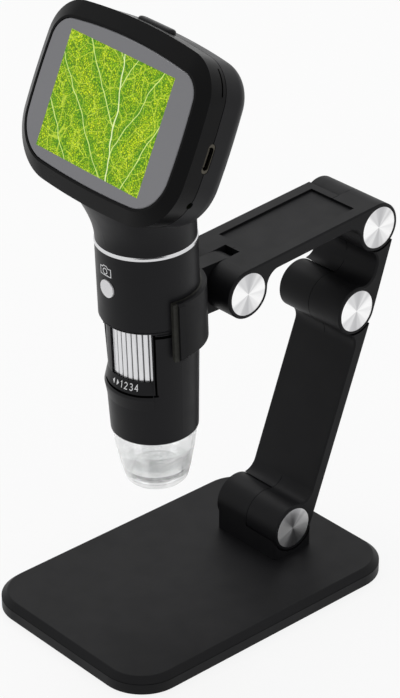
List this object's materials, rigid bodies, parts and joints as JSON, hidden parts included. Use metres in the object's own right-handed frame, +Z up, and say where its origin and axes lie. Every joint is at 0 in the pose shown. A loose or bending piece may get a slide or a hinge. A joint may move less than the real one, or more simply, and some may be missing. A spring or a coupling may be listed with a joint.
{
  "type": "lcd digital microscope",
  "caption": "Handheld digital microscope with a tilted colour screen, focus wheel and clear cap, held in a clip on a folding desk stand with friction hinges.",
  "frame": {"origin": "centre of the underside of the base plate's pad, on the desk", "axes": "+Z up; +X along the stand's parallel hinge axes, towards the USB-C side; +Y along the base plate, from the microscope towards the arms"},
  "size_m": [0.0908, 0.1568, 0.2419],
  "materials": {
    "stand_plastic": "fine satin mould texture",
    "case_plastic": "smooth satin",
    "bezel_plastic": "satin gloss",
    "pad_rubber": "matt foam",
    "liner_rubber": "matt silicone",
    "ballast_steel": "rolled",
    "hinge_steel": "zinc plated",
    "spun_aluminium": "radially spun",
    "bright_ring": "satin chrome",
    "wheel_silver": "silver plated flutes",
    "button_silver": "silver satin",
    "screen_glass": "glossy tinted cover glass",
    "display": "lit panel",
    "circuit_board": "solder mask",
    "chip": "chip",
    "socket_metal": "stamped shell",
    "switch_plastic": "plain",
    "screw_steel": "black zinc",
    "cell_foil": "foil pouch",
    "guide_plastic": "plain",
    "lens_glass": "polished",
    "lamp": "white LED",
    "flat_cable": "polyimide",
    "clear_plastic": "clear polycarbonate"
  },
  "bodies": {
    "base": {"base_plate": "stand_plastic", "base_pad": "pad_rubber", "base_ballast": "ballast_steel", "pedestal": "stand_plastic", "pedestal_screws": "screw_steel", "base_hinge_pin": "hinge_steel", "base_hinge_nut": "hinge_steel", "base_friction_washer": "hinge_steel", "base_far_disc": "spun_aluminium"},
    "lower_arm": {"lower_arm": "stand_plastic", "base_near_disc": "spun_aluminium", "elbow_hinge_pin": "hinge_steel", "elbow_hinge_nut": "hinge_steel", "elbow_friction_washer": "hinge_steel", "elbow_far_disc": "spun_aluminium"},
    "short_link": {"short_link": "stand_plastic", "elbow_near_disc": "spun_aluminium", "shoulder_hinge_pin": "hinge_steel", "shoulder_hinge_nut": "hinge_steel", "shoulder_friction_washer": "hinge_steel", "shoulder_far_disc": "spun_aluminium"},
    "top_arm": {"top_arm": "stand_plastic", "shoulder_near_disc": "spun_aluminium", "tilt_hinge_pin": "hinge_steel", "tilt_hinge_nut": "hinge_steel", "tilt_near_disc": "spun_aluminium", "tilt_far_disc": "spun_aluminium"},
    "clip": {"clip": "stand_plastic", "clip_liner": "liner_rubber"},
    "trim_ring": {"trim_ring": "bright_ring"},
    "microscope": {"rear_case": "case_plastic", "front_bezel": "bezel_plastic", "screen_glass": "screen_glass", "lcd_panel": "display", "main_board": "circuit_board", "board_screws": "screw_steel", "battery": "cell_foil", "usb_socket": "socket_metal", "card_socket": "socket_metal", "reset_switch": "switch_plastic", "power_switch": "switch_plastic", "upper_housing": "case_plastic", "lower_housing": "case_plastic", "lens_guide": "guide_plastic", "sensor_board": "circuit_board", "image_sensor": "chip", "sensor_screws": "screw_steel", "led_board": "circuit_board", "leds": "lamp", "led_ribbon": "flat_cable", "camera_ribbon": "flat_cable", "snapshot_board": "circuit_board"},
    "focus_wheel": {"focus_wheel": "wheel_silver"},
    "lens_carrier": {"lens_carrier": "guide_plastic", "lens": "lens_glass"},
    "snapshot_button": {"snapshot_button": "button_silver"},
    "power_button": {"power_button": "case_plastic"},
    "clear_cap": {"clear_cap": "clear_plastic"}
  },
  "joints": [
    {"name": "base_hinge", "type": "hinge", "parent": "base", "child": "lower_arm", "pos_m": [0, 0.038, 0.0184], "axis": [1, 0, 0], "range_deg": [-10, 35]},
    {"name": "elbow_hinge", "type": "hinge", "parent": "lower_arm", "child": "short_link", "pos_m": [0, 0.06959, 0.10289], "axis": [1, 0, 0], "range_deg": [-30, 20]},
    {"name": "shoulder_hinge", "type": "hinge", "parent": "short_link", "child": "top_arm", "pos_m": [0, 0.08009, 0.13501], "axis": [-1, 0, 0], "range_deg": [-20, 60]},
    {"name": "tilt_hinge", "type": "hinge", "parent": "top_arm", "child": "clip", "pos_m": [0, 0.01296, 0.1302], "axis": [1, 0, 0], "range_deg": [-45, 35]},
    {"name": "microscope_height", "type": "slide", "parent": "clip", "child": "trim_ring", "axis": [0, -0.0419, 0.9991], "range_m": [-0.014, 0.01]},
    {"name": "microscope_turn", "type": "hinge", "parent": "trim_ring", "child": "microscope", "pos_m": [0, -0.02063, 0.13395], "axis": [0, -0.0419, 0.9991], "range_deg": [-55, 55]},
    {"name": "focus_turn", "type": "hinge", "parent": "microscope", "child": "focus_wheel", "pos_m": [0, -0.02063, 0.13395], "axis": [0, -0.0419, 0.9991], "range_deg": [-150, 150]},
    {"name": "lens_travel", "type": "slide", "parent": "microscope", "child": "lens_carrier", "axis": [0, -0.0419, 0.9991], "range_m": [-0.005, 0.005]},
    {"name": "snapshot_press", "type": "slide", "parent": "microscope", "child": "snapshot_button", "axis": [0.0349, 0.9985, 0.0419], "range_m": [0, 0.0004], "stiffness_N_per_m": 800, "springref_m": -0.0005},
    {"name": "power_press", "type": "slide", "parent": "microscope", "child": "power_button", "axis": [-0.0152, -0.3967, -0.9178], "range_m": [0, 0.0005], "stiffness_N_per_m": 800, "springref_m": -0.0005},
    {"name": "cap_pull", "type": "slide", "parent": "microscope", "child": "clear_cap", "axis": [0, 0.0419, -0.9991], "range_m": [0, 0.015]}
  ],
  "couplings": [
    {"joint": "focus_turn", "follows": "lens_travel", "rad_per_m": 523.08}
  ]
}
